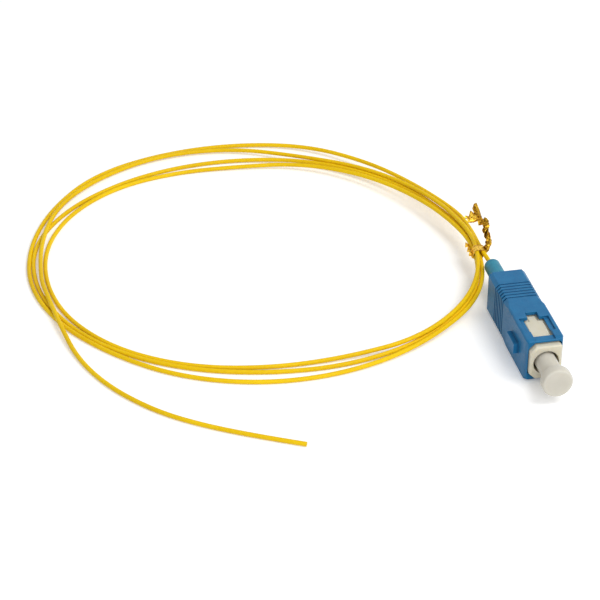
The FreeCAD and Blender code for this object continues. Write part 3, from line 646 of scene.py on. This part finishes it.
def stem_place(share):
    """A place on the stem's middle line, from 0 at the band to 1 at the fan."""
    points = [Vector(place) for place in STEM_POINTS]
    place = share * (len(points) - 1)
    number = min(int(place), len(points) - 2)
    picked = [points[min(max(number + step, 0), len(points) - 1)] for step in (-1, 0, 1, 2)]
    return between(picked, place - number)


def stem_rows(lean):
    """One of the two strips that are twisted round each other, leaning by an angle to the other."""
    rows = []
    for number in range(STEM_STEPS + 1):
        share = number / STEM_STEPS
        middle = stem_place(share)
        after = stem_place(min(share + STEM_NEARBY, 1))
        before = stem_place(max(share - STEM_NEARBY, 0))
        ahead = (after - before).normalized()
        level = ahead.cross(AXIS).normalized()
        turn = math.radians(STEM_TWIST * share + lean)
        wide = level * math.cos(turn) + ahead.cross(level) * math.sin(turn)
        bow = ahead.cross(wide) * STEM_BOW
        rows.append([middle + bow * (1 - abs(across) * STEM_BOW_FALL) + wide * (STEM_WIDTH * across)
                     for across in STEM_SHARES])
    return rows


def strip(builder, rows, draw, crumple):
    """A strip of foil through rows of places, with each place pushed about by a crumple."""
    def shaken(place):
        push = Vector([draw.uniform(-1, 1) for axis in range(3)])
        return builder.verts.new(point(*place) + push * crumple * MM)

    made = [[shaken(place) for place in row] for row in rows]
    for near, far in zip(made, made[1:]):
        for k in range(len(near) - 1):
            builder.faces.new((near[k], near[k + 1], far[k + 1], far[k]))


def leaf(builder, hub, edge, draw, closed):
    """A crumpled leaf of foil between a hub and the places along its edge."""
    middle = builder.verts.new(point(*hub))
    rim = [builder.verts.new(point(*place)) for place in edge]
    sides = zip(rim, rim[1:] + rim[:1]) if closed else zip(rim, rim[1:])
    faces = [builder.faces.new((middle, near, far)) for near, far in sides]
    lines = list(dict.fromkeys(line for face in faces for line in face.edges))
    grown = bmesh.ops.subdivide_edges(builder, edges=lines, cuts=LEAF_CUTS, use_grid_fill=True)
    for element in grown["geom_inner"]:
        if isinstance(element, bmesh.types.BMVert):
            element.co.x += draw.uniform(-LEAF_CRUMPLE, LEAF_CRUMPLE) * MM


def foil_piece(name, builder, material):
    """A finished piece of foil on the plug."""
    piece = finished_mesh(name, builder, material, smooth=False)
    gauge = piece.modifiers.new("gauge", "SOLIDIFY")
    gauge.thickness = FOIL_GAUGE * MM
    gauge.offset = 0
    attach(piece, "plug")
    return piece


def make_tie():
    """The foil tie's two pieces: the band with its flap and fan, and the stem with the folded leaf."""
    draw = random.Random(FOIL_SEED)
    builder = bmesh.new()
    strip(builder, band_rows(), draw, BAND_CRUMPLE)
    strip(builder, flap_rows(), draw, FLAP_CRUMPLE)
    leaf(builder, FAN_HUB, FAN_EDGE, draw, closed=True)
    band = foil_piece("foil_band", builder, foil_look("band_look", *BAND_TONES))
    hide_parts("twist_tie")
    builder = bmesh.new()
    for lean in STEM_LEANS:
        strip(builder, stem_rows(lean), draw, STEM_CRUMPLE)
    leaf(builder, FOLD_HUB, FOLD_EDGE, draw, closed=False)
    # Painted shade: the stem and the folded leaf take the band's foil in darker tones
    stem = foil_piece("foil_stem", builder, foil_look("stem_look", *SHADED_STEM_TONES))
    return [band, stem]


# Floor and light: white paper under a soft lamp from above and the right, and a weaker one from the front
FLOOR_SIZE = 3000
FLOOR_GLOW = 0.2
SKY = 0.47
# Each lamp's name, place, width and power in watts
LAMPS = (
    ("key", (150, 330, 700), 520, 2.9),
    ("fill", (640, 40, 420), 520, 2.2),
)
LAMP_TARGET = (-20, -40, 0)


def when_shown(tree, strength, lit, shown):
    """Set a strength to one level where it lights the object, and to another where it is seen."""
    path = tree.nodes.new("ShaderNodeLightPath")
    seen = path.outputs["Is Camera Ray"]
    # What is seen in metal and through glass counts as seen too
    for ray in ("Is Transmission Ray", "Is Glossy Ray"):
        either = tree.nodes.new("ShaderNodeMath")
        either.operation = "MAXIMUM"
        tree.links.new(seen, either.inputs[0])
        tree.links.new(path.outputs[ray], either.inputs[1])
        seen = either.outputs["Value"]
    level = tree.nodes.new("ShaderNodeMapRange")
    level.inputs["To Min"].default_value = lit
    level.inputs["To Max"].default_value = shown
    tree.links.new(seen, level.inputs["Value"])
    tree.links.new(level.outputs["Result"], strength)


def make_floor():
    builder = bmesh.new()
    bmesh.ops.create_grid(builder, x_segments=1, y_segments=1, size=FLOOR_SIZE * MM)
    look = Look("floor_look", roughness=0.9, specular_ior_level=0.0, emission_color=WHITE)
    look.colour(look.blend(look.noise(4), linear(249, 249, 249), linear(251, 251, 251)))
    when_shown(look.tree, look.shader.inputs["Emission Strength"], lit=0.0, shown=FLOOR_GLOW)
    finished_mesh("floor", builder, look.material, smooth=False)


def make_light():
    world = bpy.data.worlds.new("studio")
    scene.world = world
    world.use_nodes = True
    tree = world.node_tree
    sky = tree.nodes["Background"]
    sky.inputs["Color"].default_value = WHITE
    when_shown(tree, sky.inputs["Strength"], lit=SKY, shown=1.0)
    for name, place, width, power in LAMPS:
        data = bpy.data.lights.new(name, "AREA")
        data.shape = "DISK"
        data.size = width * MM
        data.energy = power
        aimed(bpy.data.objects.new(name, data), place, LAMP_TARGET)


make_camera()
buffer = buffer_look()
make_fibre(buffer, make_tie())
dress(nodes["inner_fibre"], buffer)
dress_solids()
make_spring(spring_look())
make_floor()
make_light()
